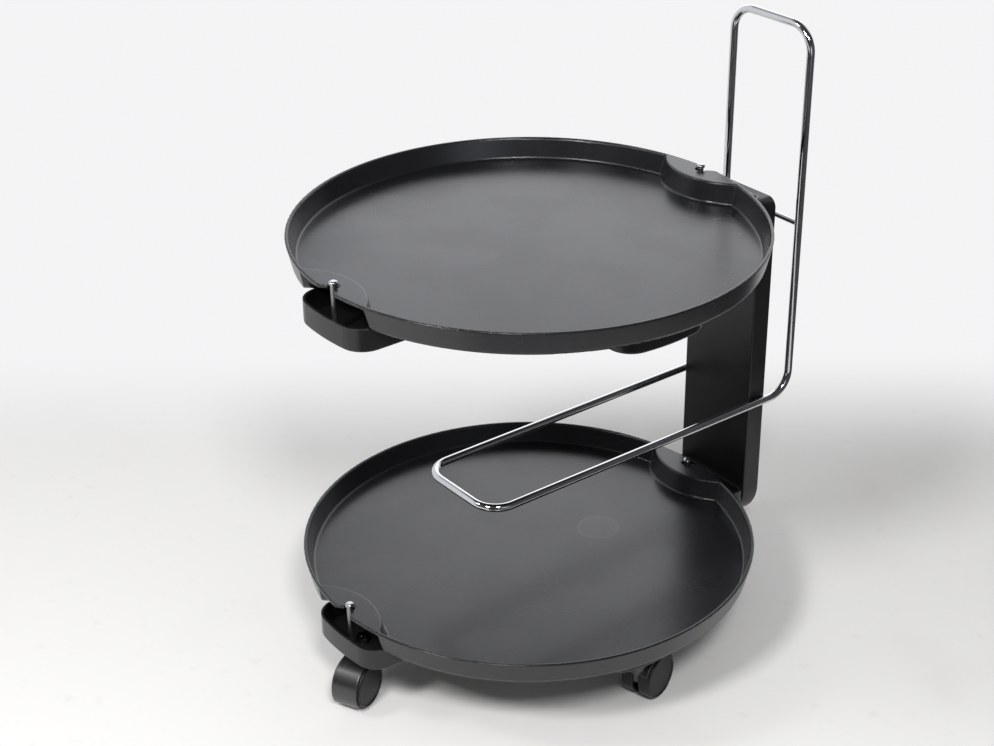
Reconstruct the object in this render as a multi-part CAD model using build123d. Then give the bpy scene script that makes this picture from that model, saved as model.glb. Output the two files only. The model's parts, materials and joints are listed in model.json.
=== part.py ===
"""Two-tier serving cart.

Two round trays rest on cross-shaped carriers that stand out from a tall back plate. A bent rod runs as a
bottle rail above the lower tray and goes up behind the plate as the push handle. Four twin-wheel casters
carry the lower carrier. Millimetres, +Z up, front towards -Y, origin on the floor under the middle of the
cart's box.
"""
import os
from math import cos, radians, sin, sqrt

from build123d import *

# Trays
TRAY_DIAMETER = 500.0
TRAY_HEIGHT = 26.0
TRAY_RIM_WIDTH = 4.0
TRAY_FLOOR = 3.0
TRAY_LEAN = 6.0  # how far the wall leans in between rim and base
TRAY_FLOOR_ROUND = 2.5
TRAY_BASE_ROUND = 4.0
RIM_INNER_ROUND = 2.0
RIM_OUTER_ROUND = 1.0
TIER_SPACING = 372.0  # from one tray's rim to the other's

# Finger-hold bosses of the trays
BOSS_OVERHANG = 42.0  # from the rim out to the centre of the boss's arc
BOSS_RADIUS = 76.0  # at the shelf
BOSS_LEAN = 6.0  # how far the boss spreads between shelf and base
BOSS_WALL = 3.0
BOSS_SHELF = 3.5
RECESS_FLARE = 10.0
NOTCH_HOLE_DIAMETER = 12.4
NOTCH_NECK = 3.0  # straight run between the hole's middle and the flare
NOTCH_NECK_ROUND = 2.0
NOTCH_MOUTH = 30.0
NOTCH_LIP_ROUND = 6.0

# Carriers
CARRIER_HEIGHT = 25.0
CARRIER_WALL = 3.0
CARRIER_FLOOR = 3.0
ARM_WIDTH = 110.0
ARM_CORNER = 26.0
ARM_THROAT = 34.0
FRONT_OVERREACH = 5.0  # front arm's end beyond the tray's rim
SIDE_SETBACK = 30.0  # side arms' ends inside the tray's rim
REAR_CORNER = 8.0
CARRIER_EDGE_ROUND = 2.5

# Locating pins
PIN_SETBACK = 10.0  # pin's axis inside the tray's rim
PIN_TOP_DIAMETER = 6.6
PIN_FOOT_DIAMETER = 4.6
PIN_HEAD_DIAMETER = 9.4
PIN_HEAD_HEIGHT = 3.4
PIN_HEAD_DOME = 2.1
PIN_EDGE_ROUND = 0.5
PIN_PROUD = 6.0  # how far the head stands above the tray's rim
PIN_FLANGE_DIAMETER = 10.0
PIN_FLANGE = 1.6
PIN_TAIL_DIAMETER = 4.0

# Back plate
PLATE_CLEARANCE = 31.5  # from the tray's rim to the plate's front face
PLATE_WIDTH = 107.0
PLATE_DEPTH = 23.6
PLATE_WALL = 2.5
PLATE_TOP_CORNER = 11.5
PLATE_FOOT_FLAT = 11.0  # straight run between the two large rounds of the foot
PLATE_DROP = 27.0  # how far the plate hangs below the lower carrier
NUT_CLEARANCE = 0.8  # between the upper nuts and the plate's top flange
PLATE_EDGE_ROUND = 2.0

# Bent rod
ROD_DIAMETER = 9.0
ROD_GAP = 0.3  # between the rod and the plate's side
ROD_BEND = 28.0
RAIL_ABOVE_RIM = 89.0
RAIL_FRONT = 97.0  # rod centre line ahead of the tray axis
UPRIGHT_GAP = 29.0  # from the back of the plate to the uprights
HANDLE_ABOVE_RIM = 153.0  # rod centre line above the upper tray's rim
WELD_ABOVE_RAIL = 60.0
CROSSBAR_DIAMETER = 6.0
CROSSBAR_BELOW_CARRIER = 21.0

# Fixings
SCREW_DIAMETER = 6.0
SCREW_HEAD_DIAMETER = 10.5
SCREW_HEAD = 3.3
SCREW_HEAD_ROUND = 2.3
SCREW_SOCKET_WIDTH = 4.0
SCREW_SOCKET_DEPTH = 2.0
SCREW_END_ROUND = 0.5
SCREW_SPACING = 56.0
SCREW_CLEARANCE = 0.2
SCREW_HEAD_GAP = 0.4  # between a screw's head and the carrier's floor
NUT_WIDTH = 10.0
NUT_HEIGHT = 5.0
THREAD_SHOWING = 1.5
STUD_DIAMETER = 5.0
STUD_NUT_WIDTH = 8.0
STUD_NUT_HEIGHT = 4.0
STANDOFF_DIAMETER = 14.0
STANDOFF_CHAMFER = 1.0
STANDOFF_THREAD = 18.0

# Casters
WHEEL_DIAMETER = 50.0
WHEEL_WIDTH = 14.0
WHEEL_ROUND = 2.4
WHEEL_INNER_ROUND = 1.0
WHEEL_BAND_ROUND = 0.4
WHEEL_FACE_RECESS = 1.0
WHEEL_RIM_BAND = 3.0
WHEEL_HUB_DIAMETER = 14.0
WHEEL_RIM_WALL = 3.0
WHEEL_FACE_WALL = 3.0
AXLE_DIAMETER = 5.0
RUNNING_GAP = 0.05
WEB_THICKNESS = 6.0
WEB_GAP = 0.6
WEB_DEPTH = 15.0  # how far the web hangs below the axle
HOOD_GAP = 1.2
HOOD_WALL = 2.0
HOOD_SETBACK = 2.6  # wheel face standing out beside the hood
HOOD_LEADING_ANGLE = 24.0
HOOD_TRAILING_ANGLE = 218.0
HOOD_EDGE_ROUND = 0.8
CASTER_TRAIL = 16.0
NECK_DIAMETER = 20.0
NECK_ABOVE_HOOD = 8.3
STEM_DIAMETER = 8.0
STEM_COLLAR_DIAMETER = 18.0
STEM_COLLAR = 3.2
STEM_EDGE_ROUND = 0.5
STEM_GAP = 0.3
STEM_NUT_WIDTH = 13.0
STEM_NUT_HEIGHT = 6.0
PIN_TO_STEM = 15.0  # between a pin and the caster stem behind it
SIDE_STEM_SETBACK = 30.0  # from a side arm's end to its caster stem
FRONT_HEADING = 25.0  # degrees from -Y to the side on which the wheels trail
RIGHT_HEADING = 195.0
REAR_HEADING = 10.0
LEFT_HEADING = 190.0

# Caster sections
WHEEL_RADIUS = WHEEL_DIAMETER / 2
HOOD_INNER = WHEEL_RADIUS + HOOD_GAP
HOOD_OUTER = HOOD_INNER + HOOD_WALL
WHEEL_INNER_FACE = WEB_THICKNESS / 2 + WEB_GAP
WHEEL_OUTER_FACE = WHEEL_INNER_FACE + WHEEL_WIDTH
HOOD_HALF_WIDTH = WHEEL_OUTER_FACE - HOOD_SETBACK
WHEEL_POCKET = WHEEL_OUTER_FACE - WHEEL_FACE_RECESS - WHEEL_FACE_WALL
AXLE_LENGTH = 2 * (WHEEL_POCKET - STEM_GAP)
CASTER_HEIGHT = WHEEL_RADIUS + HOOD_OUTER + NECK_ABOVE_HOOD + STEM_GAP + STEM_COLLAR

# Heights above the floor
LOWER_CARRIER_Z = CASTER_HEIGHT
LOWER_TRAY_Z = LOWER_CARRIER_Z + CARRIER_HEIGHT
UPPER_TRAY_Z = LOWER_TRAY_Z + TIER_SPACING
UPPER_CARRIER_Z = UPPER_TRAY_Z - CARRIER_HEIGHT
RAIL_Z = LOWER_TRAY_Z + TRAY_HEIGHT + RAIL_ABOVE_RIM
HANDLE_Z = UPPER_TRAY_Z + TRAY_HEIGHT + HANDLE_ABOVE_RIM
CROSSBAR_Z = UPPER_CARRIER_Z - CROSSBAR_BELOW_CARRIER
PLATE_BOTTOM_Z = LOWER_CARRIER_Z - PLATE_DROP
SCREW_LEVEL = CARRIER_FLOOR + SCREW_HEAD_GAP + SCREW_HEAD_DIAMETER / 2
PLATE_TOP_Z = UPPER_CARRIER_Z + SCREW_LEVEL + NUT_WIDTH / 2 + NUT_CLEARANCE + PLATE_WALL
PLATE_HEIGHT = PLATE_TOP_Z - PLATE_BOTTOM_Z

# Distances from the tray axis
TRAY_RADIUS = TRAY_DIAMETER / 2
BOSS_DISTANCE = TRAY_RADIUS + BOSS_OVERHANG
PIN_DISTANCE = TRAY_RADIUS - PIN_SETBACK
FRONT_REACH = TRAY_RADIUS + FRONT_OVERREACH
SIDE_REACH = TRAY_RADIUS - SIDE_SETBACK
FRONT_STEM_DISTANCE = PIN_DISTANCE - PIN_TO_STEM
SIDE_STEM_DISTANCE = SIDE_REACH - SIDE_STEM_SETBACK
PLATE_DISTANCE = TRAY_RADIUS + PLATE_CLEARANCE
UPRIGHT_DISTANCE = PLATE_DISTANCE + PLATE_DEPTH + UPRIGHT_GAP + ROD_DIAMETER / 2

# Plan of the cart: the origin is midway between the front caster and the back of the handle
TURN = radians(FRONT_HEADING)
FRONT_EXTENT = FRONT_STEM_DISTANCE + (CASTER_TRAIL + HOOD_OUTER) * cos(TURN) + HOOD_HALF_WIDTH * sin(TURN)
REAR_EXTENT = UPRIGHT_DISTANCE + ROD_DIAMETER / 2
AXIS_Y = (FRONT_EXTENT - REAR_EXTENT) / 2
ROD_X = PLATE_WIDTH / 2 + ROD_GAP + ROD_DIAMETER / 2
PLATE_Y = AXIS_Y + PLATE_DISTANCE
UPRIGHT_Y = AXIS_Y + UPRIGHT_DISTANCE


def spun(points, radii):
    """Turn a closed outline of (radius, height) points into a solid about the Z axis."""
    outline = FilletPolyline([(r, 0, z) for r, z in points], radius=radii, close=True)
    return revolve(make_face(outline), Axis.Z)


def hex_nut(width, height, bore):
    """Hexagonal nut standing on z = 0, with its bore along Z."""
    blank = extrude(RegularPolygon(width / 2, 6, major_radius=False), height)
    return blank - extrude(Circle(bore / 2), height)


def along_y(shape, x, y, z):
    """Turn a shape made along +Z so that it points along +Y, and place its origin."""
    return Pos(x, y, z) * Rot(-90, 0, 0) * shape


def tray_shell():
    """Solid of the tray's outside and of the space it holds, both about the Z axis."""
    top = TRAY_HEIGHT
    base = TRAY_RADIUS - TRAY_LEAN
    outside = spun(
        [(0, 0), (base, 0), (TRAY_RADIUS, top), (0, top)],
        [0, TRAY_BASE_ROUND, RIM_OUTER_ROUND, 0],
    )
    mouth = TRAY_RADIUS - TRAY_RIM_WIDTH
    floor_radius = base - TRAY_RIM_WIDTH
    space = spun([(0, TRAY_FLOOR), (floor_radius, TRAY_FLOOR), (mouth, top), (0, top)], [0, 0, 0, 0])
    return outside, space


def boss_recess():
    """Finger hold below a boss: a leaning round hollow that flares towards its open underside."""
    base = BOSS_RADIUS + BOSS_LEAN - BOSS_WALL
    ceiling = TRAY_HEIGHT - BOSS_SHELF
    top = base - BOSS_LEAN * ceiling / TRAY_HEIGHT
    edge = base + RECESS_FLARE
    points = [(0, -RECESS_FLARE), (edge, -RECESS_FLARE), (edge, 0), (base, 0), (top, ceiling), (0, ceiling)]
    return spun(points, [0, 0, 0, RECESS_FLARE, 0, 0])


def boss_notch():
    """Notch in a boss's shelf, opening outwards along -Y from a round hole at the pin."""
    hole = NOTCH_HOLE_DIAMETER / 2
    mouth = NOTCH_MOUTH / 2
    lip = sqrt(TRAY_RADIUS ** 2 - mouth ** 2) - PIN_DISTANCE
    width = mouth + 2 * NOTCH_LIP_ROUND
    edge = lip - (width - mouth) * mouth / (lip + PIN_DISTANCE)
    far = lip + NOTCH_LIP_ROUND
    half = [(hole, 0), (hole, -NOTCH_NECK), (mouth, -lip), (width, -edge), (width, -far)]
    radii = [0, NOTCH_NECK_ROUND, NOTCH_LIP_ROUND, 0, 0]
    mirrored = [(-x, y) for x, y in reversed(half)]
    funnel = FilletPolyline(half + mirrored, radius=radii + radii[::-1], close=True)
    plan = make_face(funnel) + Circle(hole)
    return Pos(0, -PIN_DISTANCE, TRAY_HEIGHT - BOSS_SHELF) * extrude(plan, 2 * BOSS_SHELF)


def tray():
    """Tray standing on z = 0 with its axis on Z, bosses towards -Y and +Y."""
    outside, space = tray_shell()
    ends = [Rot(0, 0, turn) for turn in (0, 180)]
    foot = BOSS_RADIUS + BOSS_LEAN
    boss = Cone(foot, BOSS_RADIUS, TRAY_HEIGHT, align=(Align.CENTER, Align.CENTER, Align.MIN))
    space -= [end * Pos(0, -BOSS_DISTANCE, 0) * boss for end in ends]
    corners = [e for e in space.edges() if abs(e.tangent_at(0.5).Z) > 0.5]
    floor_edges = space.faces().sort_by(Axis.Z)[0].edges()
    space = fillet(corners + floor_edges, TRAY_FLOOR_ROUND)
    body = outside - space
    inner_edges = body.faces().sort_by(Axis.Z)[-1].inner_wires()[0].edges()
    body = fillet(inner_edges, RIM_INNER_ROUND)
    for end in ends:
        body -= end * Pos(0, -BOSS_DISTANCE, 0) * boss_recess()
        body -= end * boss_notch()
    return body


def carrier_plan(inset):
    """Outline of a carrier, drawn in from its outside by inset. The rear arm ends at the plate."""
    half = ARM_WIDTH / 2 - inset
    front = FRONT_REACH - inset
    side = SIDE_REACH - inset
    rear = PLATE_DISTANCE - inset
    beam = Pos(0, (rear - front) / 2) * Rectangle(2 * half, rear + front)
    beam &= Circle(front) + Pos(0, rear / 2) * Rectangle(2 * half, rear)
    cross = beam + (Rectangle(2 * side, 2 * half) & Circle(side))
    throats = [v for v in cross.vertices() if abs(abs(v.X) - half) < 0.1 and abs(abs(v.Y) - half) < 0.1]
    rears = [v for v in cross.vertices() if abs(v.Y - rear) < 0.1]
    tips = [v for v in cross.vertices() if v not in throats and v not in rears]
    cross = fillet(tips, ARM_CORNER - inset)
    throats = [v for v in cross.vertices() if abs(abs(v.X) - half) < 0.1 and abs(abs(v.Y) - half) < 0.1]
    cross = fillet(throats, ARM_THROAT + inset)
    rears = [v for v in cross.vertices() if abs(v.Y - rear) < 0.1]
    return fillet(rears, REAR_CORNER - inset)


def stem_places():
    """Caster stems about the tray axis: (name, x, y, direction in degrees that the wheels trail)."""
    return [
        ("front", 0, -FRONT_STEM_DISTANCE, FRONT_HEADING),
        ("right", SIDE_STEM_DISTANCE, 0, RIGHT_HEADING),
        ("rear", 0, FRONT_STEM_DISTANCE, REAR_HEADING),
        ("left", -SIDE_STEM_DISTANCE, 0, LEFT_HEADING),
    ]


def carrier(with_stems):
    """Open-topped cross pan standing on z = 0 about the tray axis."""
    pan = extrude(carrier_plan(0), CARRIER_HEIGHT)
    underside = pan.faces().sort_by(Axis.Z)[0]
    edges = [e for e in underside.edges() if e.center().Y < PLATE_DISTANCE - REAR_CORNER]
    pan = fillet(edges, CARRIER_EDGE_ROUND)
    pan -= Pos(0, 0, CARRIER_FLOOR) * extrude(carrier_plan(CARRIER_WALL), CARRIER_HEIGHT)
    for sign in (-1, 1):
        pan -= Pos(0, sign * PIN_DISTANCE) * extrude(Circle(PIN_TAIL_DIAMETER / 2), CARRIER_FLOOR)
        hole = extrude(Circle(SCREW_DIAMETER / 2 + SCREW_CLEARANCE), CARRIER_WALL)
        pan -= along_y(hole, sign * SCREW_SPACING / 2, PLATE_DISTANCE - CARRIER_WALL, SCREW_LEVEL)
    if with_stems:
        for _, x, y, _ in stem_places():
            pan -= Pos(x, y) * extrude(Circle(STEM_DIAMETER / 2), CARRIER_FLOOR)
    return pan


def locating_pin():
    """Chrome pin standing on the carrier's underside level z = 0; it swells towards its domed head."""
    top = CARRIER_HEIGHT + TRAY_HEIGHT + PIN_PROUD
    neck = top - PIN_HEAD_HEIGHT
    flange_top = CARRIER_FLOOR + PIN_FLANGE
    head = PIN_HEAD_DIAMETER / 2
    points = [
        (0, 0), (PIN_TAIL_DIAMETER / 2, 0), (PIN_TAIL_DIAMETER / 2, CARRIER_FLOOR),
        (PIN_FLANGE_DIAMETER / 2, CARRIER_FLOOR), (PIN_FLANGE_DIAMETER / 2, flange_top),
        (PIN_FOOT_DIAMETER / 2, flange_top), (PIN_TOP_DIAMETER / 2, neck),
        (head, neck), (head, top), (0, top),
    ]
    return spun(points, [0, 0, 0, 0, PIN_EDGE_ROUND, 0, 0, PIN_EDGE_ROUND, PIN_HEAD_DOME, 0])


def plate_outline(inset):
    """Outline of the plate drawn in by inset, its head towards -Y and its round foot towards +Y."""
    blank = Rectangle(PLATE_WIDTH - 2 * inset, PLATE_HEIGHT - 2 * inset)
    blank = fillet(blank.vertices().group_by(Axis.Y)[0], PLATE_TOP_CORNER - inset)
    foot_corner = (PLATE_WIDTH - PLATE_FOOT_FLAT) / 2
    return fillet(blank.vertices().group_by(Axis.Y)[-1], foot_corner - inset)


def back_plate():
    """Tall pan with a round foot, its front face at the plate's place and its back open."""
    outer = extrude(plate_outline(0), PLATE_DEPTH)
    outer = fillet(outer.faces().sort_by(Axis.Z)[0].edges(), PLATE_EDGE_ROUND)
    pan = outer - Pos(0, 0, PLATE_WALL) * extrude(plate_outline(PLATE_WALL), PLATE_DEPTH)
    plate = along_y(pan, 0, PLATE_Y, PLATE_BOTTOM_Z + PLATE_HEIGHT / 2)
    hole = extrude(Circle(SCREW_DIAMETER / 2 + SCREW_CLEARANCE), PLATE_WALL)
    for x, z in carrier_screw_places():
        plate -= along_y(hole, x, PLATE_Y, z)
    plate -= along_y(hole, 0, PLATE_Y, CROSSBAR_Z)
    side_hole = Cylinder(STUD_DIAMETER / 2 + SCREW_CLEARANCE, PLATE_WIDTH + 1, rotation=(0, 90, 0))
    plate -= Pos(0, PLATE_Y + PLATE_DEPTH / 2, RAIL_Z) * side_hole
    return plate


def carrier_screw_places():
    """Places (x, z) of the four screws between the carriers and the plate."""
    heights = [base + SCREW_LEVEL for base in (LOWER_CARRIER_Z, UPPER_CARRIER_Z)]
    return [(sign * SCREW_SPACING / 2, z) for z in heights for sign in (-1, 1)]


def button_screw(grip):
    """Button-head screw: head below z = 0, shank along +Z for grip."""
    head = SCREW_HEAD_DIAMETER / 2
    shank = SCREW_DIAMETER / 2
    points = [(0, -SCREW_HEAD), (head, -SCREW_HEAD), (head, 0), (shank, 0), (shank, grip), (0, grip)]
    screw = spun(points, [0, SCREW_HEAD_ROUND, 0, 0, SCREW_END_ROUND, 0])
    socket = extrude(RegularPolygon(SCREW_SOCKET_WIDTH / 2, 6, major_radius=False), SCREW_SOCKET_DEPTH)
    return screw - Pos(0, 0, -SCREW_HEAD) * socket


def rod_along(points):
    """Round rod swept along straight runs joined by equal bends."""
    path = FilletPolyline(points, radius=ROD_BEND)
    section = Plane(origin=path @ 0, z_dir=path % 0) * Circle(ROD_DIAMETER / 2)
    return sweep(section, path=path)


def bottle_rail():
    """Flat hoop over the lower tray, turned up at the back as far as the weld to the handle."""
    front = AXIS_Y - RAIL_FRONT
    weld = RAIL_Z + WELD_ABOVE_RAIL
    return rod_along([
        (-ROD_X, UPRIGHT_Y, weld), (-ROD_X, UPRIGHT_Y, RAIL_Z), (-ROD_X, front, RAIL_Z),
        (ROD_X, front, RAIL_Z), (ROD_X, UPRIGHT_Y, RAIL_Z), (ROD_X, UPRIGHT_Y, weld),
    ])


def push_handle():
    """Upright hoop that carries the rail's rod on to the top of the cart."""
    weld = RAIL_Z + WELD_ABOVE_RAIL
    return rod_along([
        (-ROD_X, UPRIGHT_Y, weld), (-ROD_X, UPRIGHT_Y, HANDLE_Z),
        (ROD_X, UPRIGHT_Y, HANDLE_Z), (ROD_X, UPRIGHT_Y, weld),
    ])


def crossbar():
    """Thin rod between the uprights, its ends cut to the uprights' round."""
    bar = Cylinder(CROSSBAR_DIAMETER / 2, 2 * ROD_X, rotation=(0, 90, 0))
    for sign in (-1, 1):
        bar -= Pos(sign * ROD_X, 0, 0) * Cylinder(ROD_DIAMETER / 2, 4 * ROD_DIAMETER)
    return Pos(0, UPRIGHT_Y, CROSSBAR_Z) * bar


def standoff():
    """Post from the plate's sheet to the backs of the uprights; the crossbar passes through its end."""
    start = PLATE_DISTANCE + PLATE_WALL
    reach = REAR_EXTENT - start
    post = extrude(Circle(STANDOFF_DIAMETER / 2), reach)
    post = chamfer(post.faces().sort_by(Axis.Z)[-1].edges(), STANDOFF_CHAMFER)
    post -= extrude(Circle(SCREW_DIAMETER / 2), STANDOFF_THREAD)
    bar_hole = Cylinder(CROSSBAR_DIAMETER / 2, 2 * STANDOFF_DIAMETER, rotation=(0, 90, 0))
    post -= Pos(0, 0, UPRIGHT_DISTANCE - start) * bar_hole
    return along_y(post, 0, AXIS_Y + start, CROSSBAR_Z)


def rail_stud(sign):
    """Stud on the inner side of one rail leg, through the plate's flange."""
    inner = PLATE_WIDTH / 2 - PLATE_WALL - STUD_NUT_HEIGHT - THREAD_SHOWING
    stud = Cylinder(STUD_DIAMETER / 2, ROD_X - inner, align=(Align.CENTER, Align.CENTER, Align.MIN))
    stud = Pos(sign * inner, PLATE_Y + PLATE_DEPTH / 2, RAIL_Z) * Rot(0, sign * 90, 0) * stud
    leg = Cylinder(ROD_DIAMETER / 2, 2 * PLATE_DEPTH, rotation=(90, 0, 0))
    return stud - Pos(sign * ROD_X, PLATE_Y + PLATE_DEPTH / 2, RAIL_Z) * leg


def rail_nut(sign):
    """Nut on a rail stud, against the inside of the plate's flange."""
    nut = hex_nut(STUD_NUT_WIDTH, STUD_NUT_HEIGHT, STUD_DIAMETER)
    seat = PLATE_WIDTH / 2 - PLATE_WALL
    return Pos(sign * seat, PLATE_Y + PLATE_DEPTH / 2, RAIL_Z) * Rot(0, -sign * 90, 0) * nut


def caster_body():
    """Hood, web and neck of a caster; stem on the Z axis, wheels trailing towards -Y."""
    axle = Pos(0, -CASTER_TRAIL, WHEEL_RADIUS)
    lead = radians(HOOD_LEADING_ANGLE)
    span = HOOD_TRAILING_ANGLE - HOOD_LEADING_ANGLE
    with BuildSketch() as arch:
        with BuildLine():
            outer = CenterArc((0, 0), HOOD_OUTER, HOOD_LEADING_ANGLE, span)
            inner = CenterArc((0, 0), HOOD_INNER, HOOD_LEADING_ANGLE, span)
            Line(outer @ 0, inner @ 0)
            Line(outer @ 1, inner @ 1)
        make_face()
    with BuildSketch() as web:
        with BuildLine():
            rim = CenterArc((0, 0), HOOD_INNER, HOOD_LEADING_ANGLE, span)
            Polyline(rim @ 1, (0, -WEB_DEPTH), (HOOD_INNER * cos(lead), 0), rim @ 0)
        make_face()
    hood = extrude(Plane.YZ * arch.sketch, HOOD_HALF_WIDTH, both=True)
    arcs = hood.edges().filter_by(GeomType.CIRCLE)
    side_edges = [e for e in arcs if e.radius > HOOD_INNER + HOOD_WALL / 2]
    hood = fillet(side_edges, HOOD_EDGE_ROUND)
    spine = extrude(Plane.YZ * web.sketch, WEB_THICKNESS / 2, both=True)
    body = axle * (hood + spine)
    neck_top = CASTER_HEIGHT - STEM_COLLAR - STEM_GAP
    neck_foot = WHEEL_RADIUS + HOOD_INNER * sin(lead)
    neck = Pos(0, 0, neck_foot) * extrude(Circle(NECK_DIAMETER / 2), neck_top - neck_foot)
    wheel_space = axle * Cylinder(HOOD_INNER, 4 * HOOD_HALF_WIDTH, rotation=(0, 90, 0))
    body += neck - wheel_space
    body -= Pos(0, 0, stem_foot()) * extrude(Circle(STEM_DIAMETER / 2 + RUNNING_GAP), CASTER_HEIGHT)
    body -= axle * Cylinder(AXLE_DIAMETER / 2, 4 * WEB_THICKNESS, rotation=(0, 90, 0))
    return body


def stem_foot():
    """Height of the stem's socket floor, just above the hood's hollow at the neck's front."""
    front = CASTER_TRAIL - NECK_DIAMETER / 2
    return WHEEL_RADIUS + sqrt(HOOD_OUTER ** 2 - front ** 2)


def caster_stem():
    """Steel stem with a collar under the carrier and a thread through its floor."""
    radius = STEM_DIAMETER / 2
    collar = STEM_COLLAR_DIAMETER / 2
    foot = stem_foot() + STEM_GAP
    seat = CASTER_HEIGHT - STEM_COLLAR
    top = CASTER_HEIGHT + CARRIER_FLOOR + STEM_NUT_HEIGHT + THREAD_SHOWING
    points = [
        (0, foot), (radius, foot), (radius, seat), (collar, seat), (collar, CASTER_HEIGHT),
        (radius, CASTER_HEIGHT), (radius, top), (0, top),
    ]
    edge = STEM_EDGE_ROUND
    return spun(points, [0, edge, 0, edge, edge, 0, edge, 0])


def caster_wheel(sign):
    """One wheel of a caster on its side of the web, hollow towards the web."""
    inner = WHEEL_INNER_FACE
    outer = WHEEL_OUTER_FACE
    rim = WHEEL_RADIUS
    bore = AXLE_DIAMETER / 2 + RUNNING_GAP
    bore_end = AXLE_LENGTH / 2 + STEM_GAP
    hub = WHEEL_HUB_DIAMETER / 2
    band = rim - WHEEL_RIM_BAND
    face = outer - WHEEL_FACE_RECESS
    pocket = WHEEL_POCKET
    points = [
        (0, bore_end), (bore, bore_end), (bore, inner), (hub, inner), (hub, pocket),
        (rim - WHEEL_RIM_WALL, pocket), (rim - WHEEL_RIM_WALL, inner), (rim, inner), (rim, outer),
        (band, outer), (band, face), (0, face),
    ]
    pocket_rounds = [WHEEL_INNER_ROUND, WHEEL_INNER_ROUND, 0, WHEEL_INNER_ROUND]
    radii = [0, 0, 0, 0, *pocket_rounds, WHEEL_ROUND, WHEEL_BAND_ROUND, WHEEL_BAND_ROUND, 0]
    wheel = Rot(0, sign * 90, 0) * spun(points, radii)
    return Pos(0, -CASTER_TRAIL, WHEEL_RADIUS) * wheel


def caster_axle():
    """Steel axle through the web, running in both wheels."""
    axle = Cylinder(AXLE_DIAMETER / 2, AXLE_LENGTH, rotation=(0, 90, 0))
    return Pos(0, -CASTER_TRAIL, WHEEL_RADIUS) * axle


def build():
    """All pieces of the cart by node name."""
    pieces = {}
    tiers = (("lower", LOWER_CARRIER_Z, LOWER_TRAY_Z), ("upper", UPPER_CARRIER_Z, UPPER_TRAY_Z))
    grip = CARRIER_WALL + PLATE_WALL + NUT_HEIGHT + THREAD_SHOWING
    for tier, carrier_z, tray_z in tiers:
        pieces[f"{tier}_tray"] = Pos(0, AXIS_Y, tray_z) * tray()
        pieces[f"{tier}_carrier"] = Pos(0, AXIS_Y, carrier_z) * carrier(tier == "lower")
        for end, sign in (("front", -1), ("rear", 1)):
            pieces[f"{tier}_{end}_pin"] = Pos(0, AXIS_Y + sign * PIN_DISTANCE, carrier_z) * locating_pin()
        places = [(x, z) for x, z in carrier_screw_places() if carrier_z < z < tray_z]
        seat = PLATE_Y - CARRIER_WALL
        screws = [along_y(button_screw(grip), x, seat, z) for x, z in places]
        nut = hex_nut(NUT_WIDTH, NUT_HEIGHT, SCREW_DIAMETER)
        nuts = [along_y(nut, x, PLATE_Y + PLATE_WALL, z) for x, z in places]
        pieces[f"{tier}_carrier_screws"] = Compound(children=screws)
        pieces[f"{tier}_carrier_nuts"] = Compound(children=nuts)
    pieces["back_plate"] = back_plate()
    pieces["bottle_rail"] = bottle_rail()
    pieces["push_handle"] = push_handle()
    pieces["handle_crossbar"] = crossbar()
    pieces["handle_standoff"] = standoff()
    screw = button_screw(PLATE_WALL + STANDOFF_THREAD - THREAD_SHOWING)
    pieces["standoff_screw"] = along_y(screw, 0, PLATE_Y, CROSSBAR_Z)
    pieces["rail_studs"] = Compound(children=[rail_stud(sign) for sign in (-1, 1)])
    pieces["rail_nuts"] = Compound(children=[rail_nut(sign) for sign in (-1, 1)])
    stem_nuts = []
    for name, x, y, heading in stem_places():
        place = Pos(x, AXIS_Y + y, 0) * Rot(0, 0, heading)
        pieces[f"{name}_caster_stem"] = place * caster_stem()
        pieces[f"{name}_caster_body"] = place * caster_body()
        pieces[f"{name}_caster_axle"] = place * caster_axle()
        for side, sign in (("right", 1), ("left", -1)):
            pieces[f"{name}_caster_{side}_wheel"] = place * caster_wheel(sign)
        nut = hex_nut(STEM_NUT_WIDTH, STEM_NUT_HEIGHT, STEM_DIAMETER)
        stem_nuts.append(Pos(x, AXIS_Y + y, LOWER_CARRIER_Z + CARRIER_FLOOR) * nut)
    pieces["caster_stem_nuts"] = Compound(children=stem_nuts)
    return pieces


os.makedirs("parts", exist_ok=True)
for node, shape in build().items():
    export_step(shape, f"parts/{node}.step")
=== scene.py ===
"""Looks of the two-tier serving cart: finishes for every piece, pale floor, studio light and camera.

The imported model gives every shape. Lengths are metres in the model's own frame: +Z up, front towards -Y.
"""
import json
import math
from collections import namedtuple

import bpy
import numpy as np
from mathutils import Matrix, Vector


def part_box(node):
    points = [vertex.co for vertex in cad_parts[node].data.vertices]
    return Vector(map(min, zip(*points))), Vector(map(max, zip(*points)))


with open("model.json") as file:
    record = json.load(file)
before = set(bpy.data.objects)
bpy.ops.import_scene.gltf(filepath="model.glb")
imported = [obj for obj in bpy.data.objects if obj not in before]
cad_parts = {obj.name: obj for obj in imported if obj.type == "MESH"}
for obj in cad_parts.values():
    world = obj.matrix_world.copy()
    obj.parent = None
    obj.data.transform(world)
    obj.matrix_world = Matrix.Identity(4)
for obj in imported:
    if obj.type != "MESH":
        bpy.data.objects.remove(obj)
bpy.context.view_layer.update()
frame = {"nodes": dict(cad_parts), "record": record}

UP = Vector((0.0, 0.0, 1.0))
WHITE = (1.0, 1.0, 1.0, 1.0)

# Camera, seen from the middle of the lower tray's rim
IMAGE_WIDTH = 994
FOCAL_PIXELS = 1934.6
SENSOR_WIDTH = 36.0
CAMERA_SIGHT = 100.0
CAMERA_FROM_RIM = Vector((1.4247, -1.1398, 1.1644))
VIEW_TURN = math.radians(52.403)
VIEW_PITCH = math.radians(27.876)
VIEW_ROLL = math.radians(-0.429)

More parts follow.
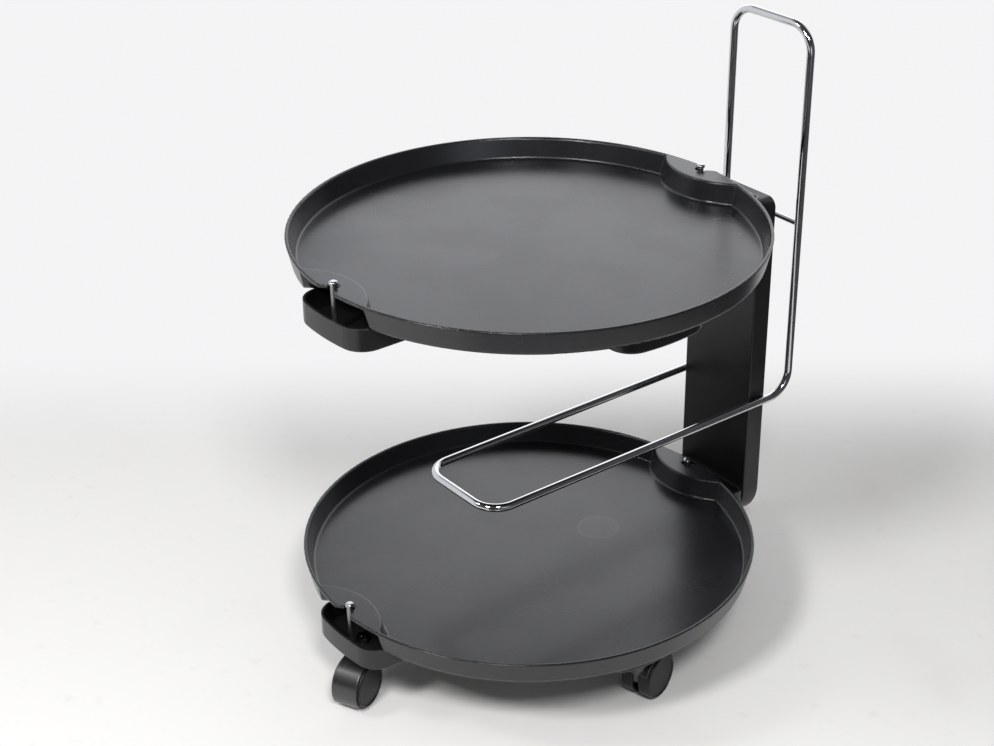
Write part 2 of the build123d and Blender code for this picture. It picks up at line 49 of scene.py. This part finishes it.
# Patterns: stretches along the axes, and the range that most values of a noise lie in
EVEN = (1.0, 1.0, 1.0)
FLATTENED = (1.0, 1.0, 0.0)
NOISE_LOW = 0.35
NOISE_HIGH = 0.65

# Moulded plastic: cloudy gloss and rubbed streaks on every kind
CLOUD_CELLS = 11.0
STREAK_CELLS = 90.0
STREAK_STRETCH = (1.0, 0.07, 0.3)
STREAK_BEND = 1.2
STREAK_RANGE = (0.62, 0.78)
RUB_DULLING = 0.018
EDGE_SAMPLES = 6

# Moulded plastic: what each kind has of its own; the softened edge stays below the walls' thickness
Moulding = namedtuple("Moulding", "color rub_color roughness grain grain_depth specular edge")
TRAY_LOOK = Moulding(
    color=(0.0080, 0.0084, 0.0096, 1.0), rub_color=(0.0112, 0.0117, 0.0129, 1.0), roughness=(0.25, 0.29),
    grain=1400.0, grain_depth=0.000006, specular=0.6, edge=0.0025)
CARRIER_LOOK = Moulding(
    color=(0.010, 0.0102, 0.0098, 1.0), rub_color=(0.017, 0.017, 0.0165, 1.0), roughness=(0.26, 0.32),
    grain=1100.0, grain_depth=0.000008, specular=0.5, edge=0.0015)
HOOD_LOOK = Moulding(
    color=(0.009, 0.0092, 0.0094, 1.0), rub_color=(0.032, 0.032, 0.032, 1.0), roughness=(0.27, 0.33),
    grain=900.0, grain_depth=0.000006, specular=1.0, edge=0.0015)
WHEEL_LOOK = Moulding(
    color=(0.008, 0.0082, 0.0083, 1.0), rub_color=(0.035, 0.0345, 0.034, 1.0), roughness=(0.36, 0.50),
    grain=800.0, grain_depth=0.00002, specular=0.35, edge=0.0015)

# Round mark of a wet glass on the lower tray
STAIN_CENTRE = (0.0146, 0.054, 0.0)
STAIN_RADIUS = 0.022
STAIN_RING = (0.0008, 0.0045)
STAIN_BLUR = 0.002
STAIN_INSIDE = 0.5
STAIN_DULLING = 0.02
STAIN_COLOR = (0.034, 0.0345, 0.0355, 1.0)

# Paint of the back plate
PAINT_COLOR = (0.006, 0.0062, 0.0064, 1.0)
PAINT_CELLS = 14.0
PAINT_ROUGHNESS = (0.34, 0.44)
DUST_COLOR = (0.05, 0.05, 0.05, 1.0)
DUST_CELLS = 420.0
DUST_RANGE = (0.70, 0.80)
PEEL_CELLS = 700.0
PEEL_DEPTH = 0.00002

# Chrome of the rod
CHROME_COLOR = (0.62, 0.625, 0.63, 1.0)
HAZE_CELLS = 35.0
HAZE_ROUGHNESS = (0.05, 0.15)
PIT_COLOR = (0.38, 0.37, 0.36, 1.0)
PIT_CELLS = 900.0
PIT_RANGE = (0.66, 0.76)
WAVE_CELLS = 160.0
WAVE_DEPTH = 0.00001

# Locating pins
PIN_HEAD = 0.0042
PIN_BLEND = 0.0006
PIN_COLOR = (0.50, 0.505, 0.51, 1.0)
PIN_PATCH_COLOR = (0.42, 0.42, 0.415, 1.0)
PIN_PATCH_CELLS = 400.0
PIN_HAZE_CELLS = 120.0
PIN_HAZE_ROUGHNESS = (0.07, 0.14)
SHANK_COLOR = (0.30, 0.30, 0.295, 1.0)
SHANK_DULLING = 0.30
SHANK_RING_CELLS = 1800.0
SHANK_RING_STRETCH = (0.1, 0.1, 1.0)
SHANK_RING_DEPTH = 0.00002

# Small fixings
STEEL_COLOR = (0.50, 0.50, 0.50, 1.0)
STEEL_PATCH_COLOR = (0.60, 0.60, 0.585, 1.0)
BLACKENED_COLOR = (0.035, 0.035, 0.036, 1.0)
BLACKENED_PATCH_COLOR = (0.055, 0.054, 0.052, 1.0)
STEEL_PATCH_CELLS = 220.0
STEEL_CLOUD_CELLS = 300.0
STEEL_ROUGHNESS = (0.25, 0.42)
TURNING_CELLS = 1500.0
TURNING_STRETCH = (0.2, 0.2, 1.0)
TURNING_DEPTH = 0.00002

# Floor and backdrop
FLOOR_REACH = 14.0
FLOOR_STEPS = 48
FLOOR_COLOR = (0.86, 0.855, 0.845, 1.0)
FLOOR_STAIN = (0.77, 0.76, 0.74, 1.0)
FLOOR_ROUGHNESS = 0.6
FLOOR_SPECULAR = 0.25
FLOOR_STAIN_CELLS = 3.0
FLOOR_STAIN_RANGE = (0.50, 0.80)
SPECK_CELLS = 45.0
SPECK_RANGE = (0.60, 0.78)
SPECK_SHARE = 0.5
WALL_COLOR = (0.90, 0.90, 0.91, 1.0)
WALL_RANGE = (0.32, 0.64)
FAR_RANGE = (0.8, 1.8)

# Room: the even dome, and the bright side and dark ceiling that only gloss sees, a painted reflection that
# lights nothing
ROOM_LIGHT = 0.26
ROOM_BRIGHT = (0.91, 0.93, 0.99, 1.0)
ROOM_DARK = (0.06, 0.06, 0.065, 1.0)
BRIGHT_AWAY = 0.9
BRIGHT_LEFT = 0.3
BRIGHT_RANGE = (-0.10, 0.35)
CEILING_RANGE = (0.55, 0.90)

# Lamps
LAMP_REACH = 2.1
LAMP_SIZE = 0.5
LEFT_TURN = math.radians(-35.0)
LEFT_POWER = 44.0
RIGHT_TURN = math.radians(8.0)
RIGHT_POWER = 40.0
SIDE_TURN = math.radians(-82.0)
SIDE_POWER = 12.0
BACK_POWER = 7.0
BACK_SIZE = 1.6
BACK_SIDE = 0.35
BACK_REACH = 2.2
BACK_LEVEL = 0.85

# Dark screen that only reflections see, a painted dark reflection, with a glowing patch on it that lights
# nothing: a painted reflection of a window
SCREEN_FOOT = 0.62
SCREEN_HEAD = 1.3
SCREEN_HEIGHT = 1.0
SCREEN_LOWEST = 0.002
SCREEN_START = math.radians(-25.0)
SCREEN_END = math.radians(125.0)
SCREEN_COLUMNS = 25
SCREEN_ROWS = 5
SCREEN_ROUGHNESS = 0.9
PAINTED_REFLECTION_SIDE = 0.48
PAINTED_REFLECTION_LEVEL = 0.60
PAINTED_REFLECTION_HALF = 0.34
PAINTED_REFLECTION_GLOW = 1.5
PAINTED_REFLECTION_COLOR = (0.75, 0.84, 1.0, 1.0)


def shader_of(name):
    """New material with its node tree and its Principled shader."""
    material = bpy.data.materials.new(name)
    material.use_nodes = True
    tree = material.node_tree
    return material, tree, tree.nodes["Principled BSDF"]


def metal_of(name):
    """New material of bare metal, with its node tree and its Principled shader."""
    material, tree, shader = shader_of(name)
    shader.inputs["Metallic"].default_value = 1.0
    return material, tree, shader


def add(tree, kind, **settings):
    """New node of a kind, with its properties set."""
    node = tree.nodes.new(kind)
    for key, value in settings.items():
        setattr(node, key, value)
    return node


def object_points(tree, stretch=EVEN):
    """Object coordinates, stretched along the axes."""
    source = add(tree, "ShaderNodeTexCoord")
    mapping = add(tree, "ShaderNodeMapping")
    mapping.inputs["Scale"].default_value = stretch
    tree.links.new(source.outputs["Object"], mapping.inputs["Vector"])
    return mapping.outputs["Vector"]


def noise(tree, cells, detail=2.0, stretch=EVEN, bend=0.0):
    """Noise of so many cells a metre, in the piece's own coordinates."""
    node = add(tree, "ShaderNodeTexNoise")
    node.inputs["Scale"].default_value = cells
    node.inputs["Detail"].default_value = detail
    node.inputs["Distortion"].default_value = bend
    tree.links.new(object_points(tree, stretch), node.inputs["Vector"])
    return node.outputs["Fac"]


def spread(tree, value, low, high, start=NOISE_LOW, end=NOISE_HIGH):
    """Value carried smoothly from the range start to end on to the range low to high."""
    node = add(tree, "ShaderNodeMapRange", interpolation_type="SMOOTHSTEP")
    node.inputs["From Min"].default_value = start
    node.inputs["From Max"].default_value = end
    node.inputs["To Min"].default_value = low
    node.inputs["To Max"].default_value = high
    tree.links.new(value, node.inputs["Value"])
    return node.outputs["Result"]


def ramp_up(tree, value, start=NOISE_LOW, end=NOISE_HIGH):
    """None up to start, one from end on."""
    return spread(tree, value, 0.0, 1.0, start, end)


def ramp_down(tree, value, start, end):
    """One up to start, none from end on."""
    return spread(tree, value, 1.0, 0.0, start, end)


def combine(tree, operation, first, second=0.0):
    """Arithmetic on two values, either of which may be a plain number."""
    node = add(tree, "ShaderNodeMath", operation=operation)
    for socket, value in zip(node.inputs, (first, second)):
        if isinstance(value, (int, float)):
            socket.default_value = value
        else:
            tree.links.new(value, socket)
    return node.outputs["Value"]


def along(tree, points, direction):
    """How far points lie along a direction."""
    node = add(tree, "ShaderNodeVectorMath", operation="DOT_PRODUCT")
    node.inputs[1].default_value = direction
    tree.links.new(points, node.inputs[0])
    return node.outputs["Value"]


def tint(tree, factor, first, second):
    """Colour between first and second by factor; each is a colour or a socket that gives one."""
    node = add(tree, "ShaderNodeMix", data_type="RGBA")
    tree.links.new(factor, node.inputs["Factor"])
    for socket, value in zip((s for s in node.inputs if s.type == "RGBA"), (first, second)):
        if isinstance(value, bpy.types.NodeSocket):
            tree.links.new(value, socket)
        else:
            socket.default_value = value
    return next(s for s in node.outputs if s.type == "RGBA")


def raised(tree, shader, height, depth, edge=0.0):
    """Bump of a real depth in metres on the shader's normal, over edges softened by a real radius."""
    bump = add(tree, "ShaderNodeBump")
    bump.inputs["Strength"].default_value = 1.0
    bump.inputs["Distance"].default_value = depth
    tree.links.new(height, bump.inputs["Height"])
    if edge:
        soft = add(tree, "ShaderNodeBevel", samples=EDGE_SAMPLES)
        soft.inputs["Radius"].default_value = edge
        tree.links.new(soft.outputs["Normal"], bump.inputs["Normal"])
    tree.links.new(bump.outputs["Normal"], shader.inputs["Normal"])


def seen_ray(tree):
    """One for rays of the camera, of reflections and of what shows through, none for light on surfaces."""
    path = add(tree, "ShaderNodeLightPath")
    seen = combine(tree, "MAXIMUM", path.outputs["Is Camera Ray"], path.outputs["Is Glossy Ray"])
    return combine(tree, "MAXIMUM", seen, path.outputs["Is Transmission Ray"])


def glass_stain(tree):
    """Mark of a wet glass: one on its ring, less inside it, none a few millimetres off."""
    gap = add(tree, "ShaderNodeVectorMath", operation="DISTANCE")
    tree.links.new(object_points(tree, FLATTENED), gap.inputs[0])
    gap.inputs[1].default_value = STAIN_CENTRE
    distance = gap.outputs["Value"]
    off_ring = combine(tree, "ABSOLUTE", combine(tree, "SUBTRACT", distance, STAIN_RADIUS))
    ring = ramp_down(tree, off_ring, *STAIN_RING)
    disc = spread(tree, distance, STAIN_INSIDE, 0.0, STAIN_RADIUS - STAIN_BLUR, STAIN_RADIUS + STAIN_BLUR)
    return combine(tree, "MAXIMUM", ring, disc)


def moulded_black(name, look, stained=False):
    """Black moulded plastic: fine grain, cloudy gloss, fine rubbed streaks that are paler and duller."""
    material, tree, shader = shader_of(name)
    clouds = noise(tree, CLOUD_CELLS, detail=3.0)
    streaks = noise(tree, STREAK_CELLS, detail=3.0, stretch=STREAK_STRETCH, bend=STREAK_BEND)
    rubbed = ramp_up(tree, streaks, *STREAK_RANGE)
    dullness = combine(tree, "ADD", spread(tree, clouds, *look.roughness),
                       combine(tree, "MULTIPLY", rubbed, RUB_DULLING))
    shown = tint(tree, rubbed, look.color, look.rub_color)
    if stained:
        stain = glass_stain(tree)
        dullness = combine(tree, "ADD", dullness, combine(tree, "MULTIPLY", stain, STAIN_DULLING))
        shown = tint(tree, stain, shown, STAIN_COLOR)
    tree.links.new(dullness, shader.inputs["Roughness"])
    tree.links.new(shown, shader.inputs["Base Color"])
    shader.inputs["Specular IOR Level"].default_value = look.specular
    raised(tree, shader, noise(tree, look.grain), look.grain_depth, look.edge)
    return material


def painted_black(name):
    """Smooth satin paint with slight orange peel and sparse pale dust."""
    material, tree, shader = shader_of(name)
    dust = ramp_up(tree, noise(tree, DUST_CELLS), *DUST_RANGE)
    tree.links.new(tint(tree, dust, PAINT_COLOR, DUST_COLOR), shader.inputs["Base Color"])
    clouds = noise(tree, PAINT_CELLS, detail=3.0)
    tree.links.new(spread(tree, clouds, *PAINT_ROUGHNESS), shader.inputs["Roughness"])
    raised(tree, shader, noise(tree, PEEL_CELLS, detail=1.0), PEEL_DEPTH)
    return material


def chrome_plate(name):
    """Bright chrome with a faint haze that comes and goes, and small dull pits."""
    material, tree, shader = metal_of(name)
    pits = ramp_up(tree, noise(tree, PIT_CELLS), *PIT_RANGE)
    tree.links.new(tint(tree, pits, CHROME_COLOR, PIT_COLOR), shader.inputs["Base Color"])
    haze = noise(tree, HAZE_CELLS, detail=3.0)
    tree.links.new(spread(tree, haze, *HAZE_ROUGHNESS), shader.inputs["Roughness"])
    raised(tree, shader, noise(tree, WAVE_CELLS, detail=1.0), WAVE_DEPTH)
    return material


def pin_plate(name, head_level):
    """Locating pin: polished above the head's level, satin with fine turning rings on the shank below."""
    material, tree, shader = metal_of(name)
    height = along(tree, object_points(tree), UP)
    shank = ramp_down(tree, height, head_level - PIN_BLEND, head_level)
    patches = ramp_up(tree, noise(tree, PIN_PATCH_CELLS, detail=3.0))
    polished = tint(tree, patches, PIN_COLOR, PIN_PATCH_COLOR)
    tree.links.new(tint(tree, shank, polished, SHANK_COLOR), shader.inputs["Base Color"])
    satin = combine(tree, "MULTIPLY", shank, SHANK_DULLING)
    haze = spread(tree, noise(tree, PIN_HAZE_CELLS), *PIN_HAZE_ROUGHNESS)
    tree.links.new(combine(tree, "ADD", satin, haze), shader.inputs["Roughness"])
    rings = noise(tree, SHANK_RING_CELLS, detail=1.0, stretch=SHANK_RING_STRETCH)
    raised(tree, shader, rings, SHANK_RING_DEPTH)
    return material


def fixing_steel(name, color, patch_color):
    """Steel of small fixings: greyer and duller than chrome, with faint turning lines."""
    material, tree, shader = metal_of(name)
    patches = ramp_up(tree, noise(tree, STEEL_PATCH_CELLS, detail=3.0))
    tree.links.new(tint(tree, patches, color, patch_color), shader.inputs["Base Color"])
    clouds = noise(tree, STEEL_CLOUD_CELLS)
    tree.links.new(spread(tree, clouds, *STEEL_ROUGHNESS), shader.inputs["Roughness"])
    lines = noise(tree, TURNING_CELLS, detail=1.0, stretch=TURNING_STRETCH)
    raised(tree, shader, lines, TURNING_DEPTH)
    return material


def dress_nodes():
    """Every node takes the finish of its slot, except lower tray, stems, stem nuts and pins.

    Each pin has a finish of its own, because its polish starts at its own head.
    """
    finishes = {
        "tray_plastic": moulded_black("tray_plastic", TRAY_LOOK),
        "carrier_plastic": moulded_black("carrier_plastic", CARRIER_LOOK),
        "black_plate": painted_black("black_paint"),
        "chrome_rod": chrome_plate("chrome_plate"),
        "steel_fixings": fixing_steel("plated_steel", STEEL_COLOR, STEEL_PATCH_COLOR),
        "hood_plastic": moulded_black("hood_plastic", HOOD_LOOK),
        "wheel_plastic": moulded_black("wheel_plastic", WHEEL_LOOK),
    }
    stained_tray = moulded_black("stained_tray_plastic", TRAY_LOOK, stained=True)
    blackened = fixing_steel("blackened_steel", BLACKENED_COLOR, BLACKENED_PATCH_COLOR)
    for part in frame["record"]["subparts"]:
        name = part["node"]
        finish = finishes[part["material_slot"]]
        if name == "lower_tray":
            finish = stained_tray
        elif "_stem" in name:
            finish = blackened
        elif name.endswith("_pin"):
            finish = pin_plate(f"{name}_plate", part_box(name)[1].z - PIN_HEAD)
        mesh = frame["nodes"][name].data
        mesh.materials.clear()
        mesh.materials.append(finish)


def rim_centre():
    """Middle of the lower tray at the height of its rim."""
    low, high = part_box("lower_tray")
    return Vector(((low.x + high.x) / 2, (low.y + high.y) / 2, high.z))


def level_view():
    """Unit vectors on the floor: to the camera's right and away from it."""
    right = Vector((math.cos(VIEW_TURN), math.sin(VIEW_TURN), 0.0))
    away = Vector((-math.sin(VIEW_TURN), math.cos(VIEW_TURN), 0.0))
    return right, away


def place_camera():
    """Camera at the photograph's place: looking down by its pitch and turned a little about its axis."""
    right, away = level_view()
    forward = away * math.cos(VIEW_PITCH) - UP * math.sin(VIEW_PITCH)
    above = right.cross(forward)
    turned_right = right * math.cos(VIEW_ROLL) + above * math.sin(VIEW_ROLL)
    turned_above = above * math.cos(VIEW_ROLL) - right * math.sin(VIEW_ROLL)
    data = bpy.data.cameras.new("camera")
    data.sensor_width = SENSOR_WIDTH
    data.sensor_fit = "HORIZONTAL"
    data.lens = FOCAL_PIXELS / IMAGE_WIDTH * SENSOR_WIDTH
    data.clip_end = CAMERA_SIGHT
    camera = bpy.data.objects.new("camera", data)
    bpy.context.scene.collection.objects.link(camera)
    basis = Matrix((turned_right, turned_above, -forward)).transposed().to_4x4()
    camera.matrix_world = Matrix.Translation(rim_centre() + CAMERA_FROM_RIM) @ basis
    bpy.context.scene.camera = camera


def floor_material():
    """Pale cement floor with faint stains and specks, evenly pale behind, in front and far off."""
    material, tree, shader = shader_of("pale_floor")
    stains = ramp_up(tree, noise(tree, FLOOR_STAIN_CELLS, detail=5.0), *FLOOR_STAIN_RANGE)
    specks = spread(tree, noise(tree, SPECK_CELLS, detail=4.0), 0.0, SPECK_SHARE, *SPECK_RANGE)
    marks = combine(tree, "MAXIMUM", stains, specks)
    tree.links.new(tint(tree, marks, FLOOR_COLOR, FLOOR_STAIN), shader.inputs["Base Color"])
    shader.inputs["Roughness"].default_value = FLOOR_ROUGHNESS
    shader.inputs["Specular IOR Level"].default_value = FLOOR_SPECULAR
    _, away = level_view()
    points = object_points(tree)
    reach = add(tree, "ShaderNodeVectorMath", operation="LENGTH")
    tree.links.new(points, reach.inputs[0])
    before_or_behind = combine(tree, "ABSOLUTE", along(tree, points, away))
    wall = combine(tree, "MAXIMUM", ramp_up(tree, before_or_behind, *WALL_RANGE),
                   ramp_up(tree, reach.outputs["Value"], *FAR_RANGE))
    glow = add(tree, "ShaderNodeEmission")
    glow.inputs["Color"].default_value = WALL_COLOR
    mix = add(tree, "ShaderNodeMixShader")
    tree.links.new(combine(tree, "MULTIPLY", wall, seen_ray(tree)), mix.inputs["Fac"])
    tree.links.new(shader.outputs["BSDF"], mix.inputs[1])
    tree.links.new(glow.outputs["Emission"], mix.inputs[2])
    tree.links.new(mix.outputs["Shader"], tree.nodes["Material Output"].inputs["Surface"])
    return material


def grid_object(name, points, material):
    """Stage object from a grid of points, joined by quads along both parameters."""
    index = np.arange(points.shape[0] * points.shape[1]).reshape(points.shape[:2])
    corners = [index[:-1, :-1], index[1:, :-1], index[1:, 1:], index[:-1, 1:]]
    quads = np.stack(corners, axis=-1).reshape(-1, 4)
    mesh = bpy.data.meshes.new(name)
    mesh.from_pydata(points.reshape(-1, 3).tolist(), [], quads.tolist())
    mesh.materials.append(material)
    obj = bpy.data.objects.new(name, mesh)
    bpy.context.scene.collection.objects.link(obj)
    return obj


def lay_floor():
    """Flat grid on z = 0: x and y each run evenly over the floor's reach."""
    line = np.linspace(-FLOOR_REACH / 2, FLOOR_REACH / 2, FLOOR_STEPS + 1)
    x, y = np.meshgrid(line, line, indexing="ij")
    grid_object("floor", np.stack([x, y, np.zeros_like(x)], axis=-1), floor_material())


def screen_material():
    """Dark matt board with a soft glowing patch, a painted reflection of a window, whose glow fades from
    its middle to nothing at its edges.
    """
    material, tree, shader = shader_of("dark_screen")
    shader.inputs["Base Color"].default_value = ROOM_DARK
    shader.inputs["Roughness"].default_value = SCREEN_ROUGHNESS
    shader.inputs["Emission Color"].default_value = PAINTED_REFLECTION_COLOR
    right, _ = level_view()
    painted_reflection_place = rim_centre().dot(right) + PAINTED_REFLECTION_SIDE
    points = object_points(tree)
    sideways = combine(tree, "SUBTRACT", along(tree, points, right), painted_reflection_place)
    upwards = combine(tree, "SUBTRACT", along(tree, points, UP), PAINTED_REFLECTION_LEVEL)
    across = ramp_down(tree, combine(tree, "ABSOLUTE", sideways), 0.0, PAINTED_REFLECTION_HALF)
    upright = ramp_down(tree, combine(tree, "ABSOLUTE", upwards), 0.0, PAINTED_REFLECTION_HALF)
    # Painted reflection of a window: this glow shows only in reflections and lights nothing
    painted_reflection = combine(tree, "MULTIPLY", across, upright)
    tree.links.new(combine(tree, "MULTIPLY", painted_reflection, PAINTED_REFLECTION_GLOW), shader.inputs["Emission Strength"])
    return material


def stand_screen():
    """Dark screen for the gloss to mirror, a painted dark reflection: an arc on the camera's right that
    leans outwards.

    At angle a and share s of its height, a point lies at the radius between foot and head by s, times
    (right sin a - away cos a), raised by s times the height.
    """
    right, away = level_view()
    middle = rim_centre()
    angle = np.linspace(SCREEN_START, SCREEN_END, SCREEN_COLUMNS)[:, None, None]
    share = np.linspace(SCREEN_LOWEST, 1.0, SCREEN_ROWS)[None, :, None]
    ring = np.sin(angle) * np.array(right) - np.cos(angle) * np.array(away)
    radius = SCREEN_FOOT + (SCREEN_HEAD - SCREEN_FOOT) * share
    lift = SCREEN_HEIGHT * share * np.array(UP)
    points = np.array((middle.x, middle.y, 0.0)) + radius * ring + lift
    screen = grid_object("dark_screen", points, screen_material())
    screen.visible_camera = False
    screen.visible_diffuse = False
    screen.visible_shadow = False


def light_room():
    """Pale room: an even dome lights the cart.

    The camera sees a pale wall. Only gloss sees a bright side behind the cart and dark elsewhere, a
    painted reflection that lights nothing.
    """
    world = bpy.data.worlds.new("room")
    bpy.context.scene.world = world
    world.use_nodes = True
    tree = world.node_tree
    background = tree.nodes["Background"]
    outlook = add(tree, "ShaderNodeTexCoord").outputs["Generated"]
    right, away = level_view()
    bright_side = (away * BRIGHT_AWAY - right * BRIGHT_LEFT).normalized()
    behind = ramp_up(tree, along(tree, outlook, bright_side), *BRIGHT_RANGE)
    below_ceiling = ramp_down(tree, along(tree, outlook, UP), *CEILING_RANGE)
    # Painted reflection: this bright and dark room shows only in reflections and in what shows through,
    # and the even dome alone lights surfaces
    room = tint(tree, combine(tree, "MULTIPLY", behind, below_ceiling), ROOM_DARK, ROOM_BRIGHT)
    camera_ray = add(tree, "ShaderNodeLightPath").outputs["Is Camera Ray"]
    backdrop = tint(tree, camera_ray, room, WALL_COLOR)
    seen = seen_ray(tree)
    tree.links.new(tint(tree, seen, WHITE, backdrop), background.inputs["Color"])
    tree.links.new(spread(tree, seen, ROOM_LIGHT, 1.0, 0.0, 1.0), background.inputs["Strength"])


def softbox(name, place, target, size, power):
    """Square area lamp that faces its target."""
    data = bpy.data.lights.new(name, "AREA")
    data.shape = "SQUARE"
    data.size = size
    data.energy = power
    lamp = bpy.data.objects.new(name, data)
    bpy.context.scene.collection.objects.link(lamp)
    lamp.location = place
    lamp.visible_camera = False
    lamp.rotation_mode = "QUATERNION"
    lamp.rotation_quaternion = (target - place).to_track_quat("-Z", "Y")


def light_studio():
    """Two lamps on the camera's side, half way up, a weak one on the left and a wide one behind."""
    right, away = level_view()
    middle = rim_centre()
    lamps = (
        ("left", LEFT_TURN, LEFT_POWER),
        ("right", RIGHT_TURN, RIGHT_POWER),
        ("side", SIDE_TURN, SIDE_POWER),
    )
    for name, turn, power in lamps:
        level = right * math.sin(turn) - away * math.cos(turn)
        softbox(name, middle + LAMP_REACH * (level + UP), middle, LAMP_SIZE, power)
    back_place = middle + right * BACK_SIDE + away * BACK_REACH + UP * BACK_LEVEL
    softbox("back", back_place, middle, BACK_SIZE, BACK_POWER)


dress_nodes()
lay_floor()
stand_screen()
light_room()
light_studio()
place_camera()
bpy.context.scene.view_settings.view_transform = "Standard"
